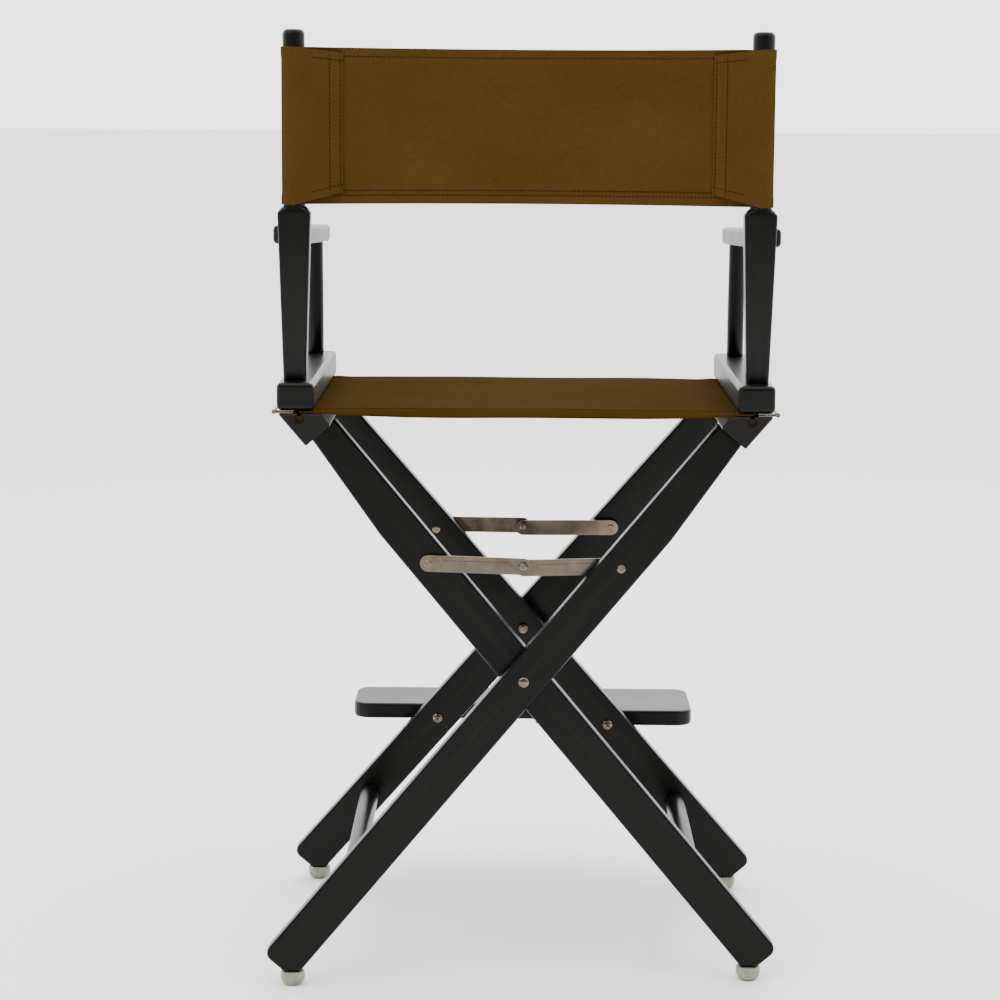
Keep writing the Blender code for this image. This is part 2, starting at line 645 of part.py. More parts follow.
def tangent_angle(radius, dx, dy):
    """Angle of the tangent point on a circle towards a point at (dx, dy)."""
    return atan2(dy, dx) + acos(radius / (dx * dx + dy * dy) ** 0.5)


def back_canvas(pivot):
    """The back canvas: a flat front panel and a sleeve round each post dowel."""
    play = 2 * GAP
    inner = DOWEL_RADIUS + play
    outer = inner + CANVAS
    apex = POST_X - SLEEVE_SEAM_X
    turn = tangent_angle(outer, apex, outer - CANVAS)
    left = arc(-POST_X, 0, outer, pi / 2, 2 * pi - (turn - 2 * atan2(outer - CANVAS, apex)), 12)
    seam_y = outer - CANVAS
    outline = left + [(-SLEEVE_SEAM_X, seam_y), (SLEEVE_SEAM_X, seam_y)]
    outline += [(-x, y) for x, y in reversed(left)]

    def place(x, y, end):
        return Vector((x, POST_Y + y, BACK_BOTTOM_Z + end * (BACK_TOP_Z - BACK_BOTTOM_Z)))

    made = prism("back_canvas", outline, place)
    for side in (LEFT, RIGHT):
        hole = [(side * (-x), y) for x, y in
                arc(-POST_X, 0, inner, pi / 2, 2 * pi - radians(72), 12)]
        hole.append((side * (SLEEVE_SEAM_X + SLEEVE_TIP), inner - SLEEVE_TIP_GAP))

        def bore(x, y, end):
            height = BACK_TOP_Z - BACK_BOTTOM_Z + 2 * OVERRUN
            return Vector((x, POST_Y + y, BACK_BOTTOM_Z - OVERRUN + end * height))

        combine(made, prism("bore", hole, bore))
    finish_node(made, CANVAS_BROWN, pivot)


def seat_canvas(pivot):
    """The seat canvas: a flat panel whose edges drop round the dowels in the grooves."""
    ring = SEAT_DOWEL_RADIUS + GAP
    outer = ring + LOOP_THICK
    neck = GROOVE_MOUTH / 2 - LOOP_PLAY
    top, low = SEAT_Z + SEAT_CANVAS / 2, SEAT_Z - SEAT_CANVAS / 2
    start = asin(neck / outer)
    loop = arc(-GROOVE_X, GROOVE_Z, outer, pi / 2 + start, 2.5 * pi - start, 14)
    outline = [(-GROOVE_X - neck, top), *loop, (-GROOVE_X + neck, low)]
    outline += [(-x, z) for x, z in reversed(outline)]
    length = RAIL_LENGTH / 2 - SEAT_INSET

    def place(x, z, end):
        return Vector((x, (2 * end - 1) * length, z))

    made = prism("seat_canvas", outline, place)
    for side in (LEFT, RIGHT):
        ends = [(side * GROOVE_X, way * RAIL_LENGTH, GROOVE_Z) for way in (-1, 1)]
        combine(made, rod("bore", ring, *ends, 14))
    finish_node(made, CANVAS_BROWN, pivot)


def footrest_board():
    """The footrest: it turns on one bolt and drops over the other."""
    low, high = -BOARD_HALF_X, BOARD_HALF_X
    catch_y, pivot_y = CATCH_FACE_Y + BOARD_STANDOFF, PIVOT_FACE_Y + BOARD_STANDOFF
    step = FOOT_BOLT_X - BOARD_STEP_RADIUS
    r, small = BOARD_CORNER, BOARD_CORNER * 0.4
    outline = [*arc(low + r, catch_y + r, r, pi, 1.5 * pi, 5),
               *arc(step - small, catch_y - small, small, pi / 2, 0, 3),
               *arc(step + small, pivot_y + small, small, pi, 1.5 * pi, 3),
               *arc(high - r, pivot_y + r, r, -pi / 2, 0, 5),
               *arc(high - r, BOARD_FRONT_Y - r, r, 0, pi / 2, 5),
               *arc(low + r, BOARD_FRONT_Y - r, r, pi / 2, pi, 5)]
    bottom = FOOT_BOLT_Z - BOARD_THICK / 2

    def place(x, y, end):
        return Vector((x, y, bottom + end * BOARD_THICK))

    made = prism("footrest_board", outline, place)
    round_edges(made, BOARD_EDGE, 2, 50)
    reach = FOOT_BOLT_REACH + 2 * GAP
    hole = [(FOOT_BOLT_X, pivot_y - OVERRUN, FOOT_BOLT_Z), (FOOT_BOLT_X, pivot_y + reach, FOOT_BOLT_Z)]
    combine(made, rod("pivot_hole", BOLT_RADIUS + BOLT_PLAY, *hole, 16))
    wide = BOLT_RADIUS + CATCH_PLAY
    drop = -BOARD_THICK
    slot = [(-wide, drop), (wide + CATCH_FLARE, drop), *arc(0, 0, wide, 0, pi, 8)]

    def catch(x, z, end):
        y = catch_y - 2 * OVERRUN + end * (2 * OVERRUN + reach)
        return Vector((x - FOOT_BOLT_X, y, FOOT_BOLT_Z + z))

    combine(made, prism("catch_slot", slot, catch))
    finish_node(made, BLACK_WOOD, (FOOT_BOLT_X, 0, FOOT_BOLT_Z))


def main():
    """Build the chair, frame by frame."""
    clear_scene()
    outer = Frame("outer", RIGHT, 0.0)
    inner = Frame("inner", LEFT, NEST)
    outer.build(catch_side=True)
    inner.build(catch_side=False)
    for half in (REAR, FRONT):
        crossing(half)
        brace(outer, half)
        brace(inner, half)
    side_assembly(RIGHT, "right")
    side_assembly(LEFT, "left")
    left_pivot = (-HINGE_X, 0, HINGE_Z)
    back_canvas(left_pivot)
    seat_canvas(left_pivot)
    footrest_board()


main()
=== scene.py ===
"""Looks of the folding director chair: canvas, hardware, finishes, light and camera."""
import logging
from dataclasses import dataclass, field
from enum import Enum
from math import acos, atan2, cos, exp, hypot, pi, radians, sin
from typing import Callable, Sequence

import bmesh
import bpy
from mathutils import Matrix, Vector, noise


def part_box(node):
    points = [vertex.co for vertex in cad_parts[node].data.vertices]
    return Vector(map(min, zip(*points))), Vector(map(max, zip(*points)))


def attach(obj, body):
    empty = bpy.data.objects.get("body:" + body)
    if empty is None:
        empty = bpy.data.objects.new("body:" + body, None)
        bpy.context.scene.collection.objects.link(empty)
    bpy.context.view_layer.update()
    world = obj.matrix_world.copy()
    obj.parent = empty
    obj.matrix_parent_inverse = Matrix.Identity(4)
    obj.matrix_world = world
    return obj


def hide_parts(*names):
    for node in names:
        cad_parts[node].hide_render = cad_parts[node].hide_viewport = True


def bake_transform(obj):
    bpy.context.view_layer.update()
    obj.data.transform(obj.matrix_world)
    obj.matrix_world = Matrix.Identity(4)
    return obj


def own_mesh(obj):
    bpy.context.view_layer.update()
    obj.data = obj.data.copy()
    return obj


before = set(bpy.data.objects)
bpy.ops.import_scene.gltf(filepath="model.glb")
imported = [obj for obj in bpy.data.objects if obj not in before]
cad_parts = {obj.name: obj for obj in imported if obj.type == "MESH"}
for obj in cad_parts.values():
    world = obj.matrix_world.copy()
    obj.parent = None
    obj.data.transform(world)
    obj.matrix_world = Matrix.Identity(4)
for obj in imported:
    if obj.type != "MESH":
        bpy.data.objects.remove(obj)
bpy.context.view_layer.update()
LOG = logging.getLogger("director_chair")

Point = tuple[float, float]
Surface = Callable[[float, float], Vector]


class Side(Enum):
    """The two sides of the chair, by the sign of X."""

    RIGHT = 1
    LEFT = -1

    @property
    def word(self) -> str:
        """Name used in the pieces of this side."""
        return self.name.lower()

    @property
    def frame_body(self) -> str:
        """The crossed frame that rises to this side."""
        return "outer_frame" if self is Side.RIGHT else "inner_frame"

    @property
    def side_body(self) -> str:
        """The body of the seat rail, posts and armrest of this side."""
        return f"{self.word}_side"


class Grain(Enum):
    """Direction of the wood grain, as a turn about Y from +X, or along Y."""

    ACROSS = 0.0
    UPRIGHT = pi / 2
    OUTER_LEG = radians(49.6)
    INNER_LEG = radians(180 - 49.6)
    DEPTH = None


def centre(node: str) -> Vector:
    """Return the middle of a CAD node's box."""
    low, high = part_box(node)
    return (low + high) / 2


# ---------------------------------------------------------------- finishes


def shader_material(name: str) -> tuple[bpy.types.Material, bpy.types.Node]:
    """Make a material with a Principled shader.

    Args:
        name: The material's name.

    Returns:
        The material and its shader node.
    """
    made = bpy.data.materials.new(name)
    made.use_nodes = True
    return made, made.node_tree.nodes["Principled BSDF"]


@dataclass(frozen=True)
class NodeTools:
    """Short ways to add and join nodes in one material."""

    tree: bpy.types.NodeTree

    def add(self, kind: str, **values: object) -> bpy.types.Node:
        """Add a node and set its inputs by name.

        Args:
            kind: The node's type name.
            **values: Input values, with underscores for spaces in their names.

        Returns:
            The new node.
        """
        made = self.tree.nodes.new(kind)
        for key, value in values.items():
            made.inputs[key.replace("_", " ")].default_value = value
        return made

    def join(self, output: bpy.types.NodeSocket, target: bpy.types.NodeSocket) -> None:
        """Link one output to one input."""
        self.tree.links.new(output, target)

    def pattern(self, vector: bpy.types.NodeSocket, **values: float) -> bpy.types.NodeSocket:
        """Add a noise over a vector and return its height."""
        made = self.add("ShaderNodeTexNoise", **values)
        self.join(vector, made.inputs["Vector"])
        return made.outputs["Fac"]

    def stretched(self, vector: bpy.types.NodeSocket, along: float) -> bpy.types.NodeSocket:
        """Scale a vector's first axis by along and return the result."""
        made = self.add("ShaderNodeMapping", Scale=(along, 1.0, 1.0))
        self.join(vector, made.inputs["Vector"])
        return made.outputs["Vector"]

    def spread(self, factor: bpy.types.NodeSocket, low: float,
               high: float) -> bpy.types.NodeSocket:
        """Spread a factor from 0 to 1 over low to high and return the result."""
        made = self.add("ShaderNodeMapRange", To_Min=low, To_Max=high)
        self.join(factor, made.inputs["Value"])
        return made.outputs["Result"]

    def ramp(self, factor: bpy.types.NodeSocket, low: Sequence[float],
             high: Sequence[float], start: float = 0.3, end: float = 0.7) -> bpy.types.Node:
        """Add a two-colour ramp driven by a factor.

        Args:
            factor: The output that drives the ramp.
            low: Colour at the low end.
            high: Colour at the high end.
            start: Where the low colour ends.
            end: Where the high colour begins.

        Returns:
            The ramp node.
        """
        made = self.tree.nodes.new("ShaderNodeValToRGB")
        made.color_ramp.elements[0].position = start
        made.color_ramp.elements[0].color = (*low, 1.0)
        made.color_ramp.elements[1].position = end
        made.color_ramp.elements[1].color = (*high, 1.0)
        self.join(factor, made.inputs["Fac"])
        return made

    def bump(self, heights: Sequence[tuple[bpy.types.NodeSocket, float, float]],
             shader: bpy.types.Node) -> None:
        """Chain bumps of (height, strength, distance) into the shader's normal."""
        previous = None
        for height, strength, distance in heights:
            made = self.add("ShaderNodeBump", Strength=strength, Distance=distance)
            self.join(height, made.inputs["Height"])
            if previous is not None:
                self.join(previous.outputs["Normal"], made.inputs["Normal"])
            previous = made
        self.join(previous.outputs["Normal"], shader.inputs["Normal"])


@dataclass(frozen=True)
class BlackPaint:
    """Satin black paint over wood, with its grain and a painted highlight along its convex edges.
    """

    dark: tuple[float, float, float] = (0.0010, 0.0011, 0.0007)
    light: tuple[float, float, float] = (0.0030, 0.0031, 0.0020)
    # Lighter colour painted on the convex edges as a highlight.
    painted_edge_highlight: tuple[float, float, float] = (0.012, 0.010, 0.007)
    roughness: tuple[float, float] = (0.26, 0.40)
    grain_scale: float = 150.0
    grain_stretch: float = 0.035

    def build(self, grain: Grain) -> bpy.types.Material:
        """Make the paint with its grain in one direction.

        Args:
            grain: The direction of the wood grain.

        Returns:
            The material.
        """
        made, shader = shader_material(f"black_paint_{grain.name.lower()}")
        tools = NodeTools(made.node_tree)
        where = tools.add("ShaderNodeTexCoord")
        turn = tools.add("ShaderNodeVectorRotate")
        turn.rotation_type = "Z_AXIS" if grain is Grain.DEPTH else "Y_AXIS"
        turn.inputs["Angle"].default_value = pi / 2 if grain is Grain.DEPTH else grain.value
        tools.join(where.outputs["Object"], turn.inputs["Vector"])
        along = tools.stretched(turn.outputs["Vector"], self.grain_stretch)
        fibres = tools.pattern(along, Scale=self.grain_scale, Detail=6.0,
                               Roughness=0.62, Distortion=0.25)
        cloud = tools.pattern(where.outputs["Object"], Scale=9.0, Detail=4.0)
        paint = tools.ramp(fibres, self.dark, self.light, 0.35, 0.75)
        # Painted highlight: convex edges, found by pointiness, are mixed towards the lighter edge
        # colour.
        edges = tools.add("ShaderNodeNewGeometry")
        painted_edge_highlight_mask = tools.ramp(edges.outputs["Pointiness"], (0, 0, 0), (1, 1, 1), 0.56, 0.70)
        mix = made.node_tree.nodes.new("ShaderNodeMixRGB")
        mix.inputs["Color2"].default_value = (*self.painted_edge_highlight, 1.0)
        tools.join(painted_edge_highlight_mask.outputs["Color"], mix.inputs["Fac"])
        tools.join(paint.outputs["Color"], mix.inputs["Color1"])
        tools.join(mix.outputs["Color"], shader.inputs["Base Color"])
        tools.join(tools.spread(cloud, *self.roughness), shader.inputs["Roughness"])
        tools.bump([(fibres, 0.30, 0.0004), (cloud, 0.12, 0.0020)], shader)
        shader.inputs["Specular IOR Level"].default_value = 0.14
        shader.inputs["Coat Weight"].default_value = 0.02
        shader.inputs["Coat Roughness"].default_value = 0.16
        return made


@dataclass(frozen=True)
class Steel:
    """Zinc-plated steel with fine rolling marks."""

    name: str = "bright_steel"
    low: tuple[float, float, float] = (0.11, 0.088, 0.066)
    high: tuple[float, float, float] = (0.19, 0.155, 0.120)
    roughness: tuple[float, float] = (0.16, 0.28)

    def build(self) -> bpy.types.Material:
        """Make the material."""
        made, shader = shader_material(self.name)
        tools = NodeTools(made.node_tree)
        where = tools.add("ShaderNodeTexCoord")
        cloud = tools.pattern(where.outputs["Object"], Scale=70.0, Detail=7.0, Roughness=0.6)
        rolled = tools.stretched(where.outputs["Object"], 0.06)
        marks = tools.pattern(rolled, Scale=420.0, Detail=3.0)
        colour = tools.ramp(cloud, self.low, self.high)
        tools.join(colour.outputs["Color"], shader.inputs["Base Color"])
        tools.join(tools.spread(cloud, *self.roughness), shader.inputs["Roughness"])
        tools.bump([(marks, 0.10, 0.0002)], shader)
        shader.inputs["Metallic"].default_value = 1.0
        return made


@dataclass(frozen=True)
class Nylon:
    """Moulded cream nylon with a dusty, slightly mottled surface."""

    low: tuple[float, float, float] = (0.17, 0.17, 0.12)
    high: tuple[float, float, float] = (0.30, 0.295, 0.22)

    def build(self) -> bpy.types.Material:
        """Make the material."""
        made, shader = shader_material("cream_nylon")
        tools = NodeTools(made.node_tree)
        where = tools.add("ShaderNodeTexCoord")
        cloud = tools.pattern(where.outputs["Object"], Scale=120.0, Detail=6.0)
        colour = tools.ramp(cloud, self.low, self.high)
        tools.join(colour.outputs["Color"], shader.inputs["Base Color"])
        tools.bump([(cloud, 0.15, 0.0004)], shader)
        shader.inputs["Roughness"].default_value = 0.42
        shader.inputs["Subsurface Weight"].default_value = 0.08
        shader.inputs["Subsurface Radius"].default_value = (0.003, 0.002, 0.001)
        return made


@dataclass(frozen=True)
class Duck:
    """Heavy cotton duck: a plain weave of warp and weft, slubs and fading."""

    name: str
    dark: tuple[float, float, float]
    light: tuple[float, float, float]
    across: str
    threads_per_metre: float = 1150.0

    def build(self) -> bpy.types.Material:
        """Make the cloth, woven along X and the axis named in across."""
        made, shader = shader_material(self.name)
        tools = NodeTools(made.node_tree)
        where = tools.add("ShaderNodeTexCoord")
        split = tools.add("ShaderNodeSeparateXYZ")
        tools.join(where.outputs["Object"], split.inputs["Vector"])
        waves = [self.thread(tools, split.outputs[axis]) for axis in ("X", self.across)]
        weave = made.node_tree.nodes.new("ShaderNodeMath")
        weave.operation = "MULTIPLY"
        tools.join(waves[0], weave.inputs[0])
        tools.join(waves[1], weave.inputs[1])
        slubs = tools.pattern(tools.stretched(where.outputs["Object"], 0.35),
                              Scale=420.0, Detail=4.0, Roughness=0.7)
        fade = tools.pattern(where.outputs["Object"], Scale=6.0, Detail=5.0, Roughness=0.6)
        colour = tools.ramp(fade, self.dark, self.light, 0.25, 0.8)
        fleck = tools.ramp(slubs, (0.86, 0.86, 0.86), (1.10, 1.10, 1.10), 0.3, 0.75)
        tint = made.node_tree.nodes.new("ShaderNodeMixRGB")
        tint.blend_type = "MULTIPLY"
        tint.inputs["Fac"].default_value = 0.8
        tools.join(colour.outputs["Color"], tint.inputs["Color1"])
        tools.join(fleck.outputs["Color"], tint.inputs["Color2"])
        tools.join(tint.outputs["Color"], shader.inputs["Base Color"])
        tools.bump([(weave.outputs["Value"], 0.35, 0.0003),
                    (slubs, 0.25, 0.0004), (fade, 0.10, 0.0030)], shader)
        shader.inputs["Roughness"].default_value = 0.95
        shader.inputs["Specular IOR Level"].default_value = 0.004
        return made

    def thread(self, tools: NodeTools, coordinate: bpy.types.NodeSocket) -> bpy.types.NodeSocket:
        """Make the height of one set of parallel threads.

        Args:
            tools: The material's node tools.
            coordinate: The coordinate across the threads.

        Returns:
            The output that holds the height, from 0 to 1.
        """
        scale = tools.tree.nodes.new("ShaderNodeMath")
        scale.operation = "MULTIPLY"
        scale.inputs[1].default_value = self.threads_per_metre * pi
        tools.join(coordinate, scale.inputs[0])
        wave = tools.tree.nodes.new("ShaderNodeMath")
        wave.operation = "SINE"
        tools.join(scale.outputs["Value"], wave.inputs[0])
        height = tools.add("ShaderNodeMapRange", From_Min=-1.0, From_Max=1.0)
        tools.join(wave.outputs["Value"], height.inputs["Value"])
        return height.outputs["Result"]


@dataclass(frozen=True)
class Thread:
    """Waxed sewing thread, darker than the cloth."""

    low: tuple[float, float, float] = (0.014, 0.007, 0.002)
    high: tuple[float, float, float] = (0.030, 0.016, 0.005)

    def build(self) -> bpy.types.Material:
        """Make the material."""
        made, shader = shader_material("sewing_thread")
        tools = NodeTools(made.node_tree)
        where = tools.add("ShaderNodeTexCoord")
        twist = tools.pattern(where.outputs["Object"], Scale=900.0, Detail=2.0)
        colour = tools.ramp(twist, self.low, self.high)
        tools.join(colour.outputs["Color"], shader.inputs["Base Color"])
        tools.bump([(twist, 0.3, 0.0002)], shader)
        shader.inputs["Roughness"].default_value = 0.95
        shader.inputs["Specular IOR Level"].default_value = 0.02
        return made


class Finishes:
    """Every finish of the chair, made once."""

    def __init__(self) -> None:
        """Make the materials."""
        self.paint = {grain: BlackPaint().build(grain) for grain in Grain}
        self.steel = Steel().build()
        # Darker steel for the cross recesses: painted shade in the recess, with a rougher surface.
        self.recess_shade_steel = Steel("recess_shaded_steel", (0.05, 0.05, 0.045), (0.12, 0.115, 0.10),
                            (0.4, 0.6)).build()
        self.nylon = Nylon().build()
        self.back = Duck("back_duck", (0.050, 0.0265, 0.0062), (0.068, 0.0360, 0.0090), "Z").build()
        self.seat = Duck("seat_duck", (0.030, 0.0155, 0.0022), (0.042, 0.0215, 0.0034), "Y").build()
        self.thread = Thread().build()


# ---------------------------------------------------------------- meshes


def new_piece(name: str, bm: bmesh.types.BMesh, finish: bpy.types.Material,
              smooth: float = 40.0) -> bpy.types.Object:
    """Turn a bmesh into a piece of the chair.

    Args:
        name: The piece's name.
        bm: The shape, which is freed.
        finish: The piece's material.
        smooth: Edges flatter than this, in degrees, are shaded smooth.

    Returns:
        The new object.
    """
    bmesh.ops.recalc_face_normals(bm, faces=bm.faces)
    mesh = bpy.data.meshes.new(name)
    bm.to_mesh(mesh)
    bm.free()
    mesh.shade_smooth()
    mesh.set_sharp_from_angle(angle=radians(smooth))
    mesh.materials.append(finish)
    made = bpy.data.objects.new(name, mesh)
    bpy.context.scene.collection.objects.link(made)
    LOG.info("made %s with %d faces", name, len(mesh.polygons))
    return made


def add_turned(bm: bmesh.types.BMesh, profile: Sequence[Point], origin: Vector,
               axis: Vector, segments: int = 40) -> None:
    """Add a turned solid to a bmesh.

    Args:
        bm: The bmesh to add to.
        profile: Points of (radius, height) from one end to the other.
        origin: Where height is zero.
        axis: Direction of the heights.
        segments: Faces round the axis.
    """
    turn = Vector((0, 0, 1)).rotation_difference(axis.normalized()).to_matrix()
    rings = []
    for radius, height in profile:
        ring = []
        for i in range(segments):
            angle = 2 * pi * i / segments
            spot = Vector((radius * cos(angle), radius * sin(angle), height))
            ring.append(bm.verts.new(turn @ spot + origin))
        rings.append(ring)
    bm.faces.new(rings[0])
    bm.faces.new(list(reversed(rings[-1])))
    for low, high in zip(rings, rings[1:]):
        for i in range(segments):
            j = (i + 1) % segments
            bm.faces.new((low[i], low[j], high[j], high[i]))


def cloth(name: str, surface: Surface, size: tuple[int, int],
          thick: Callable[[float, float], float], finish: bpy.types.Material,
          slot: str) -> bpy.types.Object:
    """Make a sheet with real thickness from its middle surface.

    Args:
        name: The piece's name.
        surface: Middle surface over u and v, each from 0 to 1.
        size: Number of cells along u and v.
        thick: Thickness over u and v, in metres.
        finish: The cloth's material.
        slot: A material slot name; not used.

    Returns:
        The sheet, one closed mesh.
    """
    columns, rows = size
    step = 1e-3
    bm = bmesh.new()
    layers: list[list[list[bmesh.types.BMVert]]] = [[], []]
    for i in range(columns + 1):
        for layer in layers:
            layer.append([])
        for j in range(rows + 1):
            u, v = i / columns, j / rows
            du = surface(min(u + step, 1), v) - surface(max(u - step, 0), v)
            dv = surface(u, min(v + step, 1)) - surface(u, max(v - step, 0))
            normal = du.cross(dv).normalized()
            spot = surface(u, v)
            for layer, sign in zip(layers, (0.5, -0.5)):
                layer[i].append(bm.verts.new(spot + normal * thick(u, v) * sign))
    for layer, flip in zip(layers, (False, True)):
        for i in range(columns):
            for j in range(rows):
                loop = [layer[i][j], layer[i + 1][j], layer[i + 1][j + 1], layer[i][j + 1]]
                bm.faces.new(loop[::-1] if flip else loop)
    rim = [(i, 0) for i in range(columns)] + [(columns, j) for j in range(rows)]
    rim += [(i, rows) for i in range(columns, 0, -1)] + [(0, j) for j in range(rows, 0, -1)]
    for (a, b), (c, d) in zip(rim, rim[1:] + rim[:1]):
        bm.faces.new((layers[0][a][b], layers[0][c][d], layers[1][c][d], layers[1][a][b]))
    return new_piece(name, bm, finish, 50)


@dataclass
class Stitching:
    """A row of raised thread stitches."""

    pitch: float = 0.0042
    length: float = 0.0030
    radius: float = 0.00050

    def add_row(self, bm: bmesh.types.BMesh, line: Sequence[Vector]) -> None:
        """Add one stitch after another along a line of points.

        Args:
            bm: The bmesh to add to.
            line: Points along the seam, on the cloth's face.
        """
        travelled = self.pitch / 2
        for start, end in zip(line, line[1:]):
            run = (end - start).length
            if run < 1e-9:
                continue
            way = (end - start) / run
            while travelled < run:
                half = way * self.length / 2
                middle = start + way * travelled
                profile = [(self.radius * 0.5, 0), (self.radius, self.length * 0.2),
                           (self.radius, self.length * 0.8), (self.radius * 0.5, self.length)]
                add_turned(bm, profile, middle - half, way, 6)
                travelled += self.pitch
            travelled -= run


# ---------------------------------------------------------------- canvas


@dataclass
class Hems:
    """Thickness of a hemmed cloth across its width."""

    cloth: float = 0.0012
    hem: float = 0.0022
    width: float = 0.011
    stitch_share: float = 0.85

    def thickness(self, from_edge: float) -> float:
        """Return the cloth's thickness at a distance from the hemmed edge."""
        share = 1 / (1 + exp((from_edge - self.width) / 0.0006))
        groove = 0.45 * exp(-((from_edge - self.width * self.stitch_share) / 0.0008) ** 2)
        return self.cloth + (self.hem - self.cloth) * share * (1 - groove)


@dataclass
class BackCanvas:
    """The back: a front panel, a sleeve round each post dowel and its return."""

    finishes: Finishes
    hems: Hems = field(default_factory=Hems)
    loop_radius: float = 0.0129
    rigid_x: float = 0.0195
    seam_inset: float = 0.0515
    layer_step: float = 0.0017
    return_top_fall: float = 0.006
    return_bottom_rise: float = 0.013

    def __post_init__(self) -> None:
        """Read the posts and the canvas's height from the frame."""
        post_low, post_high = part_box("right_back_post")
        low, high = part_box("back_canvas")
        self.post_x = (post_low.x + post_high.x) / 2
        self.post_y = (post_low.y + post_high.y) / 2
        self.low_z, self.high_z = low.z + 0.0005, high.z - 0.0005
        self.loop_x = self.post_x - self.rigid_x
        self.seam_x = self.post_x - self.seam_inset
        self.panel_y = self.post_y + self.loop_radius
        self.return_y = self.panel_y - self.layer_step
        rise, run = self.return_y - self.post_y, self.seam_inset
        self.tangent = atan2(rise, run) - acos(self.loop_radius / hypot(run, rise))

    def ripple(self, x: float, z: float) -> float:
        """Gentle unevenness of the tensioned cloth, fading at its ends."""
        fade = max(0.0, 1 - (abs(x) / self.loop_x) ** 6)
        soft = noise.noise(Vector((x * 9, z * 14, 0.3))) * 0.0016
        pull = sin((z - self.low_z) * 95 + x * 6) * 0.0004 * (abs(x) / self.loop_x) ** 3
        edge = (z - (self.low_z + self.high_z) / 2) / (self.high_z - self.low_z)
        bow = 0.0022 * (4 * edge * edge) * (1 - (x / self.loop_x) ** 2)
        return fade * (soft + pull + bow)

    def panel(self, u: float, v: float) -> Vector:
        """Front panel between the sleeves."""
        x = -self.loop_x + 2 * self.loop_x * u
        z = self.low_z + (self.high_z - self.low_z) * v
        sag = 0.0016 * (1 - (x / self.loop_x) ** 2) * (1 - 2 * v)
        return Vector((x, self.panel_y + self.ripple(x, z), z + sag))

    def return_span(self, x: float) -> tuple[float, float]:
        """Lowest and highest point of the return layer at a distance from the middle."""
        share = max(0.0, (self.post_x - x) / self.seam_inset)
        return (self.low_z + self.return_bottom_rise * share,
                self.high_z - self.return_top_fall * share)

    def return_line(self, x: float) -> float:
        """Y of the return layer at a distance x from the middle."""
        start_x = self.post_x - self.loop_radius * cos(self.tangent)
        start_y = self.post_y + self.loop_radius * sin(self.tangent)
        share = (start_x - x) / (start_x - self.seam_x)
        return start_y + (self.return_y - start_y) * share

    def flap(self, side: Side) -> Surface:
        """Surface of the return layer from the sleeve to its seam."""
        def surface(u: float, v: float) -> Vector:
            """Point of the return layer."""
            x = self.seam_x + (self.loop_x - self.seam_x) * (u if side is Side.RIGHT else 1 - u)
            low, high = self.return_span(x)
            sink = 0.0006 * sin(pi * u) * sin(7 * v)
            return Vector((side.value * x, self.return_line(x) + sink, low + (high - low) * v))
        return surface

    def sleeve(self, side: Side) -> Surface:
        """Surface round one dowel, from the front panel to the return layer."""
        arc_length = self.loop_radius * (pi + self.tangent)
        front = self.rigid_x
        back_start = self.post_x - self.loop_radius * cos(self.tangent)
        back = max(1e-4, back_start - self.loop_x)
        total = front + arc_length + back

        def surface(u: float, v: float) -> Vector:
            """Point of the sleeve."""
            share = u if side is Side.RIGHT else 1 - u
            walked = share * total
            low, high = self.low_z, self.high_z
            if walked <= front:
                x, y = self.loop_x + walked, self.panel_y
            elif walked <= front + arc_length:
                angle = pi / 2 - (walked - front) / arc_length * (pi / 2 + pi + self.tangent)
                x = self.post_x + self.loop_radius * cos(angle)
                y = self.post_y + self.loop_radius * sin(angle)
            else:
                x = back_start - (walked - front - arc_length) / back * (back_start - self.loop_x)
                y = self.return_line(x)
            if y < self.post_y:
                low, high = self.return_span(x)
            return Vector((side.value * x, y, low + (high - low) * v))
        return surface

    def build(self) -> list[bpy.types.Object]:
        """Make the back canvas and its stitching.

        Returns:
            The pieces of the back.
        """
        height = self.high_z - self.low_z

        def thick(_: float, v: float) -> float:
            """Thickness of the cloth across its hems."""
            return self.hems.thickness(min(v, 1 - v) * height)

        cloth_of = self.finishes.back
        panel = cloth("back_canvas_panel", self.panel, (110, 84), thick, cloth_of, "back_canvas")
        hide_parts("back_canvas")
        flaps = [cloth(f"back_canvas_{side.word}_return", self.flap(side), (16, 84), thick,
                       cloth_of, "back_canvas") for side in Side]
        sleeves = [cloth(f"back_canvas_{side.word}_sleeve", self.sleeve(side), (44, 84), thick,
                         cloth_of, "back_canvas") for side in Side]
        stitches = self.stitch(height)
        for piece in (panel, *flaps, stitches):
            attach(piece, Side.LEFT.side_body)
            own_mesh(piece)
        for side, sleeve in zip(Side, sleeves):
            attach(sleeve, side.side_body)
        return [panel, *flaps, *sleeves, stitches]

    def stitch(self, height: float) -> bpy.types.Object:
        """Sew the hems and the sleeve seams.

        Args:
            height: The canvas's height.

        Returns:
            The stitching piece.
        """
        bm = bmesh.new()
        sewing = Stitching()
        inset = self.hems.width * self.hems.stitch_share / height
        count = 60
        for v in (inset, 1 - inset, inset * 1.55):
            for face in (0.0011, -0.0011):
                line = [self.panel(i / count, v) + Vector((0, face, 0)) for i in range(count + 1)]
                sewing.add_row(bm, line)
        for side in Side:
            flap = self.flap(side)
            for column in (0.07, 0.42):
                u = column if side is Side.RIGHT else 1 - column
                line = [flap(u, v / 30) - Vector((0, 0.0010, 0)) for v in range(31)]
                sewing.add_row(bm, line)
                x = abs(flap(u, 0).x)
                share = (side.value * x + self.loop_x) / (2 * self.loop_x)
                line = [self.panel(share, v / 30) + Vector((0, 0.0010, 0)) for v in range(31)]
                sewing.add_row(bm, line)
            for v in (inset, 1 - inset):
                line = [flap(u / 12, v) - Vector((0, 0.0012, 0)) for u in range(13)]
                sewing.add_row(bm, line)
        return new_piece("back_canvas_stitching", bm, self.finishes.thread)


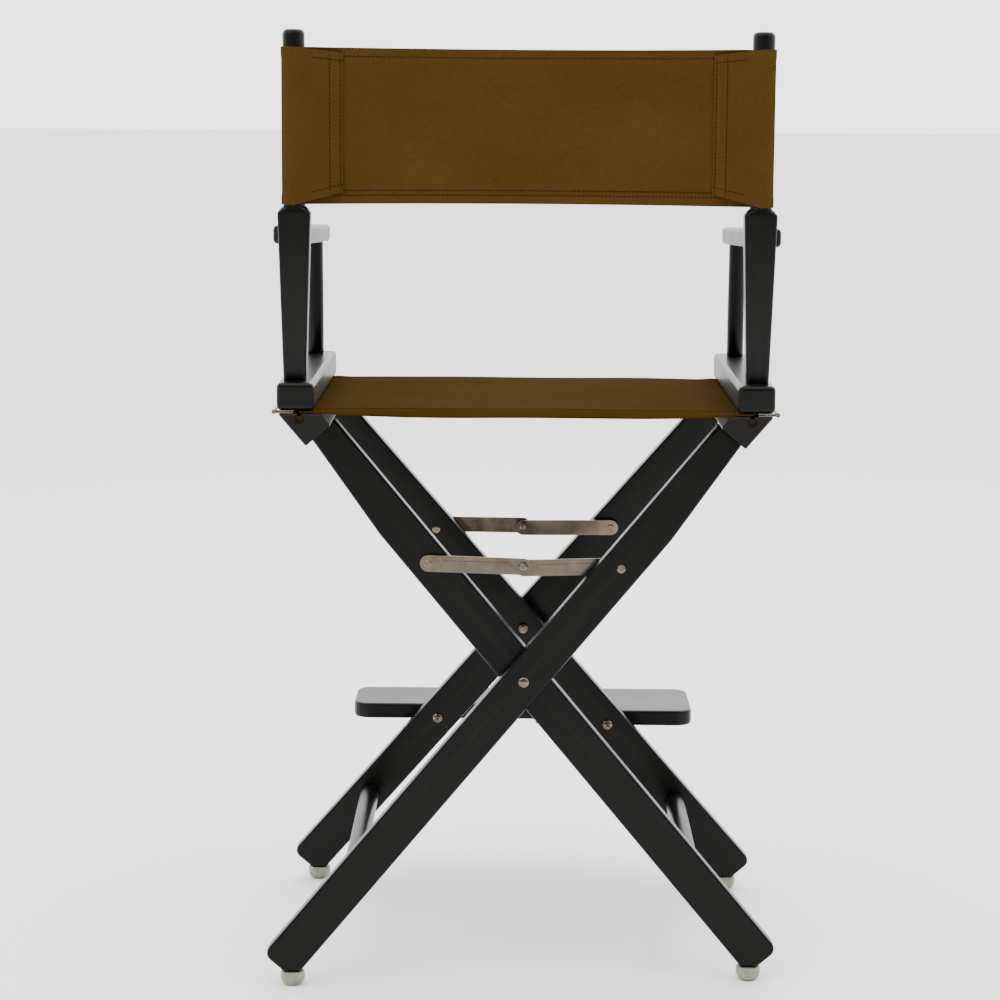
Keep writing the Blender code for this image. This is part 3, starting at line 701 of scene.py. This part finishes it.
@dataclass
class SeatCanvas:
    """The seat: a taut panel, an edge under each rail and a loop in each groove."""

    finishes: Finishes
    hems: Hems = field(default_factory=lambda: Hems(hem=0.0024, width=0.022))
    crown: float = 0.0022
    hem_drop: float = 0.0060
    loop_thick: float = 0.0010

    def __post_init__(self) -> None:
        """Read the rails, grooves and canvas from the frame."""
        low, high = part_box("seat_canvas")
        rail_low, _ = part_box("right_seat_rail")
        dowel_low, dowel_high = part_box("right_seat_dowel")
        self.inner_x = rail_low.x
        self.rear_y, self.front_y = low.y, high.y
        self.level = high.z - 0.0010
        self.dowel_x = (dowel_low.x + dowel_high.x) / 2
        self.dowel_z = (dowel_low.z + dowel_high.z) / 2
        self.dowel_radius = (dowel_high.z - dowel_low.z) / 2

    def drop(self, x: float, v: float) -> float:
        """Fall of the hems at the front and rear edges of the seat."""
        from_edge = min(v, 1 - v) * (self.front_y - self.rear_y)
        share = max(0.0, 1 - from_edge / (self.hems.width * 1.25))
        slack = max(0.0, 1 - (abs(x) / self.inner_x) ** 4)
        wave = 1 + 0.03 * sin(x * 38)
        return self.hem_drop * share * share * slack * wave

    def panel(self, u: float, v: float) -> Vector:
        """Middle panel between the seat rails."""
        x = -self.inner_x + 2 * self.inner_x * u
        y = self.rear_y + (self.front_y - self.rear_y) * v
        rise = self.crown * (1 - (x / self.inner_x) ** 4)
        soft = noise.noise(Vector((x * 8, y * 9, 1.7))) * 0.0012 * (1 - (x / self.inner_x) ** 6)
        return Vector((x, y, self.level + rise + soft - self.drop(x, v)))

    def edge(self, side: Side) -> Surface:
        """Strip from the rail's inner edge to the mouth of the groove."""
        def surface(u: float, v: float) -> Vector:
            """Point of the strip."""
            share = u if side is Side.RIGHT else 1 - u
            x = self.inner_x + (self.dowel_x - self.inner_x) * share
            y = self.rear_y + (self.front_y - self.rear_y) * v
            return Vector((side.value * x, y, self.level))
        return surface

    def loop(self, side: Side) -> Surface:
        """Sleeve round the thin dowel in the groove."""
        radius = self.dowel_radius + self.loop_thick * 0.6

        def surface(u: float, v: float) -> Vector:
            """Point of the loop."""
            share = u if side is Side.RIGHT else 1 - u
            angle = pi / 2 + 0.45 + (2 * pi - 0.9) * share
            x = self.dowel_x + radius * cos(angle)
            y = self.rear_y + (self.front_y - self.rear_y) * v
            return Vector((side.value * x, y, self.dowel_z + radius * sin(angle)))
        return surface

    def build(self) -> list[bpy.types.Object]:
        """Make the seat canvas and its stitching.

        Returns:
            The pieces of the seat.
        """
        depth = self.front_y - self.rear_y

        def thick(_: float, v: float) -> float:
            """Thickness of the cloth across its hems."""
            return self.hems.thickness(min(v, 1 - v) * depth)

        finish = self.finishes.seat
        panel = cloth("seat_canvas_panel", self.panel, (96, 120), thick, finish, "seat_canvas")
        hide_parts("seat_canvas")
        stitches = self.stitch(depth)
        for piece in (panel, stitches):
            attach(piece, Side.LEFT.side_body)
            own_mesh(piece)
        pieces = [panel, stitches]
        for side in Side:
            strip = cloth(f"seat_canvas_{side.word}_edge", self.edge(side), (8, 60),
                          lambda _, v: 0.0016, finish, "seat_canvas")
            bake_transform(strip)
            loop = cloth(f"seat_canvas_{side.word}_loop", self.loop(side), (28, 60),
                         lambda _, v: self.loop_thick, finish, "seat_canvas")
            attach(loop, side.frame_body)
            pieces += [strip, loop]
        return pieces

    def stitch(self, depth: float) -> bpy.types.Object:
        """Sew the front and rear hems.

        Args:
            depth: The seat's depth.

        Returns:
            The stitching piece.
        """
        bm = bmesh.new()
        sewing = Stitching()
        inset = self.hems.width * self.hems.stitch_share / depth
        for v in (inset, 1 - inset):
            for face in (0.0012, -0.0012):
                line = [self.panel(i / 60, v) + Vector((0, 0, face)) for i in range(61)]
                sewing.add_row(bm, line)
        return new_piece("seat_canvas_stitching", bm, self.finishes.thread)


# ---------------------------------------------------------------- wood and hardware


@dataclass
class WoodWork:
    """Painted wood: the flat boards keep their CAD shape, round pieces are turned fine."""

    finishes: Finishes
    stretcher_chamfer: float = 0.0015
    dowel_radius: float = 0.012
    dowel_crown: float = 0.0060
    crown_steps: int = 7
    crown_sweep: float = pi / 2 * 0.94

    def dress(self) -> None:
        """Paint every board, with the grain along its length."""
        grains = {
            Grain.OUTER_LEG: ["outer_rear_leg", "outer_front_leg"],
            Grain.INNER_LEG: ["inner_rear_leg", "inner_front_leg"],
            Grain.DEPTH: ["outer_top_rail", "inner_top_rail", "right_seat_rail",
                          "left_seat_rail", "right_armrest", "left_armrest",
                          "right_seat_dowel", "left_seat_dowel"],
            Grain.ACROSS: ["footrest_board"],
        }
        for grain, nodes in grains.items():
            for node in nodes:
                repaint(node, self.finishes.paint[grain])

    def stretchers(self) -> None:
        """Turn the two lower dowels."""
        for word in ("outer", "inner"):
            node = f"{word}_stretcher"
            low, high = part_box(node)
            radius = (high.z - low.z) / 2
            length = high.y - low.y
            chamfer = self.stretcher_chamfer
            profile = [(radius - chamfer, 0), (radius, chamfer), (radius, length - chamfer),
                       (radius - chamfer, length)]
            bm = bmesh.new()
            add_turned(bm, profile, Vector((centre(node).x, low.y, centre(node).z)),
                       Vector((0, 1, 0)), 56)
            made = new_piece(f"{node}_dowel", bm, self.finishes.paint[Grain.DEPTH])
            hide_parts(node)
            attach(made, f"{word}_frame")

    def arm_posts(self) -> None:
        """Turn the slim posts under the armrests."""
        for side in Side:
            node = f"{side.word}_arm_post"
            low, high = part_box(node)
            radius, height = (high.x - low.x) / 2, high.z - low.z
            profile = [(radius - 0.0006, 0), (radius, 0.0010), (radius, height * 0.3),
                       (radius * 0.985, height * 0.55), (radius * 0.955, height * 0.8),
                       (radius * 0.940, height)]
            bm = bmesh.new()
            add_turned(bm, profile, Vector((centre(node).x, centre(node).y, low.z)),
                       Vector((0, 0, 1)), 48)
            made = new_piece(f"{side.word}_arm_post_turned", bm,
                             self.finishes.paint[Grain.UPRIGHT], 60)
            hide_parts(node)
            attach(made, side.side_body)

    def back_posts(self) -> None:
        """Shape the tapered posts with rounded edges and their round top dowels."""
        for side in Side:
            node = f"{side.word}_back_post"
            low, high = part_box(node)
            middle = centre(node)
            half_deep = (high.y - low.y) / 2
            half_wide = (high.x - low.x) / 2
            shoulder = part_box("back_canvas")[0].z - 0.0018
            dowel = self.dowel_radius
            stations = [(0.0, half_wide * 0.675, half_deep - 0.0004, 0.004),
                        (0.0012, half_wide * 0.681, half_deep, 0.004),
                        (shoulder - 0.0070 - low.z, half_wide, half_deep, 0.004),
                        (shoulder - 0.0055 - low.z, half_wide * 0.975, half_deep, 0.0045),
                        (shoulder - 0.0012 - low.z, half_wide * 0.80, half_deep, 0.007),
                        (shoulder - low.z, dowel + 0.0010, half_deep - 0.0002, 0.0105),
                        (shoulder + 0.0008 - low.z, dowel, dowel, dowel - 1e-5)]
            top = high.z - low.z
            for step in range(self.crown_steps + 1):
                angle = step / self.crown_steps * self.crown_sweep
                radius = dowel - 0.0050 * (1 - cos(angle))
                stations.append((top - self.dowel_crown * (1 - sin(angle) / sin(self.crown_sweep)),
                                 radius, radius, radius - 1e-5))
            bm = bmesh.new()
            rings = [self.rounded_ring(bm, middle.x, middle.y, low.z + z, wide, deep, corner)
                     for z, wide, deep, corner in stations]
            bm.faces.new(rings[0])
            bm.faces.new(list(reversed(rings[-1])))
            for under, over in zip(rings, rings[1:]):
                for i in range(len(under)):
                    j = (i + 1) % len(under)
                    bm.faces.new((under[i], under[j], over[j], over[i]))
            made = new_piece(f"{side.word}_back_post_shaped", bm,
                             self.finishes.paint[Grain.UPRIGHT], 38)
            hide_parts(node)
            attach(made, side.side_body)

    @staticmethod
    def rounded_ring(bm: bmesh.types.BMesh, x: float, y: float, z: float, wide: float,
                     deep: float, corner: float) -> list[bmesh.types.BMVert]:
        """Add one rounded rectangle of vertices.

        Args:
            bm: The bmesh to add to.
            x: Middle in X.
            y: Middle in Y.
            z: Height.
            wide: Half the size in X.
            deep: Half the size in Y.
            corner: Radius of the corners.

        Returns:
            The ring's vertices, in order.
        """
        ring = []
        steps = 7
        corners = [(1, 1, 0), (-1, 1, pi / 2), (-1, -1, pi), (1, -1, 1.5 * pi)]
        for sx, sy, start in corners:
            for step in range(steps + 1):
                angle = start + step / steps * pi / 2
                ring.append(bm.verts.new((x + sx * (wide - corner) + corner * cos(angle),
                                          y + sy * (deep - corner) + corner * sin(angle), z)))
        return ring

    def build(self) -> None:
        """Dress and shape all the wood."""
        self.dress()
        self.stretchers()
        self.arm_posts()
        self.back_posts()


def repaint(node: str, finish: bpy.types.Material) -> None:
    """Give a CAD node another material."""
    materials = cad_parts[node].data.materials
    materials.clear()
    materials.append(finish)


@dataclass
class Hardware:
    """Bolts, rivets, nuts, braces, hinges and glides."""

    finishes: Finishes
    crown_steps: int = 7
    screw_drop: float = 0.00145
    screw_setback: float = 0.005
    tail_sink: float = 0.0002
    bolt_head: float = 0.0034
    bolt_shank: float = 0.0030
    cross_turn: float = 0.35

    def dome(self, radius: float, height: float) -> list[Point]:
        """Return the profile of a domed head, from its crown down to its flat."""
        steps = self.crown_steps
        return [(radius * sin(0.06 + (pi / 2 - 0.06) * i / steps),
                 height * (1 - cos(0.06 + (pi / 2 - 0.06) * i / steps)))
                for i in range(steps + 1)]

    def bolt(self, node: str, body: str, way: float, recess: bool) -> None:
        """Replace a bolt lying along Y by one with a domed head.

        Args:
            node: The CAD bolt.
            body: The body it rides on.
            way: +1 where the head is at the low-Y end, or -1.
            recess: True for a cross recess in the head.
        """
        low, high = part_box(node)
        middle = centre(node)
        radius, length = (high.z - low.z) / 2, high.y - low.y
        start = low.y if way > 0 else high.y
        head, shank = self.bolt_head, self.bolt_shank
        profile = [*self.dome(radius, head * 0.8), (radius, head), (shank, head),
                   (shank, length - 0.0006), (shank * 0.8, length)]
        bm = bmesh.new()
        origin = Vector((middle.x, start, middle.z))
        add_turned(bm, profile, origin, Vector((0, way, 0)), 40)
        made = new_piece(f"{node}_turned", bm, self.finishes.steel)
        if recess:
            self.cut_cross(made, origin, way)
        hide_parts(node)
        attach(made, body)

    def cut_cross(self, target: bpy.types.Object, origin: Vector, way: float) -> None:
        """Cut a tapered cross recess into a head."""
        for turn in (self.cross_turn, self.cross_turn + pi / 2):
            bm = bmesh.new()
            spin = Matrix.Rotation(turn, 4, "Y")
            corners = []
            for depth, half, thin in ((-0.002, 0.0032, 0.0008), (0.0021, 0.0012, 0.0005)):
                corners.append([bm.verts.new(spin @ Vector((a * half, depth * way, b * thin))
                                             + origin)
                                for a, b in ((-1, -1), (1, -1), (1, 1), (-1, 1))])
            bm.faces.new(corners[0])
            bm.faces.new(list(reversed(corners[1])))
            for i in range(4):
                j = (i + 1) % 4
                bm.faces.new((corners[0][i], corners[0][j], corners[1][j], corners[1][i]))
            bmesh.ops.recalc_face_normals(bm, faces=bm.faces)
            mesh = bpy.data.meshes.new("cross")
            bm.to_mesh(mesh)
            bm.free()
            # The recess walls take the darker steel as painted shade.
            mesh.materials.append(self.finishes.recess_shade_steel)
            tool = bpy.data.objects.new("cross", mesh)
            bpy.context.scene.collection.objects.link(tool)
            step = target.modifiers.new("cross", "BOOLEAN")
            step.operation = "DIFFERENCE"
            step.object = tool
            step.material_mode = "TRANSFER"
            evaluated = target.evaluated_get(bpy.context.evaluated_depsgraph_get())
            target.data = bpy.data.meshes.new_from_object(evaluated)
            target.modifiers.clear()
            bpy.data.objects.remove(tool, do_unlink=True)

    def glides(self) -> None:
        """Mould the glides, with a rounded sole and a nail's dimple."""
        for word in ("outer", "inner"):
            for half in ("rear", "front"):
                node = f"{word}_{half}_glide"
                low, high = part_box(node)
                middle = centre(node)
                radius, height = (high.x - low.x) / 2, high.z - low.z
                profile = [(radius * 0.18, height * 0.16), (radius * 0.20, 0.0002),
                           (radius * 0.46, 0.0), (radius * 0.62, height * 0.03),
                           (radius * 0.78, height * 0.10), (radius * 0.90, height * 0.22),
                           (radius * 0.97, height * 0.36), (radius, height * 0.50),
                           (radius, height * 0.86), (radius * 0.96, height * 0.95),
                           (radius * 0.90, height)]
                bm = bmesh.new()
                add_turned(bm, profile, Vector((middle.x, middle.y, low.z)),
                           Vector((0, 0, 1)), 48)
                made = new_piece(f"{node}_moulded", bm, self.finishes.nylon)
                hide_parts(node)
                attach(made, f"{word}_frame")

    def hinge_screws(self) -> None:
        """Add the screw heads that fasten each hinge leaf."""
        for side in Side:
            bm = bmesh.new()
            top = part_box(f"{side.word}_seat_rail")[0].z - self.screw_drop
            for half in ("rear", "front"):
                leaf = f"{side.word}_{half}_hinge_frame_leaf"
                low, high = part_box(leaf)
                x = side.value * (abs(centre(leaf).x) - self.screw_setback)
                for share in (0.22, 0.78):
                    y = low.y + (high.y - low.y) * share
                    add_turned(bm, [(0.0026, 0), (0.0030, 0.0003), (0.0026, 0.0007)],
                               Vector((x, y, top)), Vector((0, 0, -1)), 20)
            made = new_piece(f"{side.word}_hinge_screws", bm, self.finishes.steel)
            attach(made, side.side_body)

    def brace_tails(self) -> None:
        """Add the peened tail on each right link, at the brace's middle."""
        for half, way in (("rear", 1), ("front", -1)):
            low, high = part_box(f"{half}_brace_right_link")
            rivet = centre(f"{half}_brace_center_rivet")
            bm = bmesh.new()
            y = (high.y if way > 0 else low.y) - way * self.tail_sink
            add_turned(bm, [(0.0040, 0), (0.0034, 0.0009), (0.0016, 0.0013)],
                       Vector((rivet.x, y, rivet.z)), Vector((0, way, 0)), 28)
            made = new_piece(f"{half}_brace_tail", bm, self.finishes.steel)
            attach(made, f"{half}_brace_right")

    def crossing_nuts(self) -> None:
        """Turn the round nut on the end of each crossing bolt."""
        for half in ("rear", "front"):
            node = f"{half}_crossing_nut"
            low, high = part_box(node)
            radius, length = (high.x - low.x) / 2, high.y - low.y
            way = 1 if half == "rear" else -1
            start = low.y if way > 0 else high.y
            profile = [(radius * 0.94, 0), (radius, length * 0.15), (radius, length * 0.6),
                       (radius * 0.86, length * 0.94), (radius * 0.55, length),
                       (radius * 0.42, length), (radius * 0.34, length * 0.7)]
            bm = bmesh.new()
            add_turned(bm, profile, Vector((centre(node).x, start, centre(node).z)),
                       Vector((0, way, 0)), 40)
            made = new_piece(f"{node}_turned", bm, self.finishes.steel)
            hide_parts(node)
            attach(made, "crossing_bolts")

    def build(self) -> None:
        """Dress and shape all the hardware."""
        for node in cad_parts:
            if "glide" in node or node.endswith("crossing_spacer"):
                repaint(node, self.finishes.nylon)
            elif any(word in node for word in ("hinge", "bolt", "nut", "rivet", "link", "spacer")):
                repaint(node, self.finishes.steel)
        self.bolt("footrest_catch_bolt", "outer_frame", 1, True)
        self.bolt("footrest_pivot_bolt", "inner_frame", 1, True)
        self.bolt("rear_crossing_bolt", "crossing_bolts", 1, False)
        self.bolt("front_crossing_bolt", "crossing_bolts", -1, False)
        self.glides()
        self.hinge_screws()
        self.brace_tails()
        self.crossing_nuts()


# ---------------------------------------------------------------- stage


@dataclass
class Studio:
    """Pale floor, soft lights and the camera."""

    floor_half: float = 60.0
    camera_place: tuple[float, float, float] = (-0.01186, -3.0201, 0.98092)
    pitch_down: float = radians(8.924)
    turn_left: float = radians(0.315)
    roll: float = radians(0.386)
    focal_share: float = 2.61046
    dim_side: float = 0.30
    bright_side: float = 3.0

    def floor(self) -> None:
        """Lay the floor."""
        bm = bmesh.new()
        half = self.floor_half
        bm.faces.new([bm.verts.new((x, y, -0.0004)) for x, y in
                      ((-half, -half), (half, -half), (half, half), (-half, half))])
        mesh = bpy.data.meshes.new("studio_floor")
        bm.to_mesh(mesh)
        bm.free()
        made = bpy.data.objects.new("studio_floor", mesh)
        bpy.context.scene.collection.objects.link(made)
        finish, shader = shader_material("studio_floor_paint")
        shader.inputs["Base Color"].default_value = (0.92, 0.92, 0.92, 1)
        shader.inputs["Roughness"].default_value = 0.9
        shader.inputs["Specular IOR Level"].default_value = 0.1
        mesh.materials.append(finish)

    def lights(self) -> None:
        """Hang the soft lights and fill the room with pale light."""
        world = bpy.data.worlds.new("studio_world")
        world.use_nodes = True
        tools = NodeTools(world.node_tree)
        where = tools.add("ShaderNodeTexCoord")
        along = world.node_tree.nodes.new("ShaderNodeVectorMath")
        along.operation = "DOT_PRODUCT"
        along.inputs[1].default_value = (0.0, 0.8, 0.6)
        tools.join(where.outputs["Generated"], along.inputs[0])
        glow = tools.add("ShaderNodeMapRange", From_Min=-0.5, From_Max=0.4,
                         To_Min=self.dim_side, To_Max=self.bright_side)
        tools.join(along.outputs["Value"], glow.inputs["Value"])
        background = world.node_tree.nodes["Background"]
        background.inputs["Color"].default_value = (1, 1, 1, 1)
        tools.join(glow.outputs["Result"], background.inputs["Strength"])
        bpy.context.scene.world = world
        panels = [("key", (-2.2, -2.6, 3.0), 2.2, 34), ("fill", (2.8, -1.6, 2.2), 2.4, 12),
                  ("top", (0.0, 0.6, 3.6), 3.0, 50), ("back", (0.6, 3.0, 2.4), 2.4, 30)]
        for name, place, size, power in panels:
            light = bpy.data.lights.new(f"{name}_light", "AREA")
            light.energy = power
            light.size = size
            made = bpy.data.objects.new(f"{name}_light", light)
            made.location = place
            aim = Vector((0, 0, 0.55)) - Vector(place)
            made.rotation_euler = aim.to_track_quat("-Z", "Y").to_euler()
            bpy.context.scene.collection.objects.link(made)

    def camera(self) -> None:
        """Set the camera behind the chair, a little above the seat."""
        data = bpy.data.cameras.new("camera")
        data.sensor_width = 36.0
        data.lens = data.sensor_width * self.focal_share
        made = bpy.data.objects.new("camera", data)
        turn = Matrix.Rotation(self.turn_left, 4, "Z")
        tilt = Matrix.Rotation(pi / 2 - self.pitch_down, 4, "X")
        roll = Matrix.Rotation(self.roll, 4, "Z")
        made.matrix_world = Matrix.Translation(self.camera_place) @ turn @ tilt @ roll
        bpy.context.scene.collection.objects.link(made)
        bpy.context.scene.camera = made

    def build(self) -> None:
        """Set up the stage."""
        self.floor()
        self.lights()
        self.camera()


def main() -> None:
    """Build the looks in order: stage, wood, hardware and canvas."""
    logging.basicConfig(level=logging.INFO)
    Studio().build()
    finishes = Finishes()
    WoodWork(finishes).build()
    Hardware(finishes).build()
    BackCanvas(finishes).build()
    SeatCanvas(finishes).build()


if __name__ == "__main__":
    main()
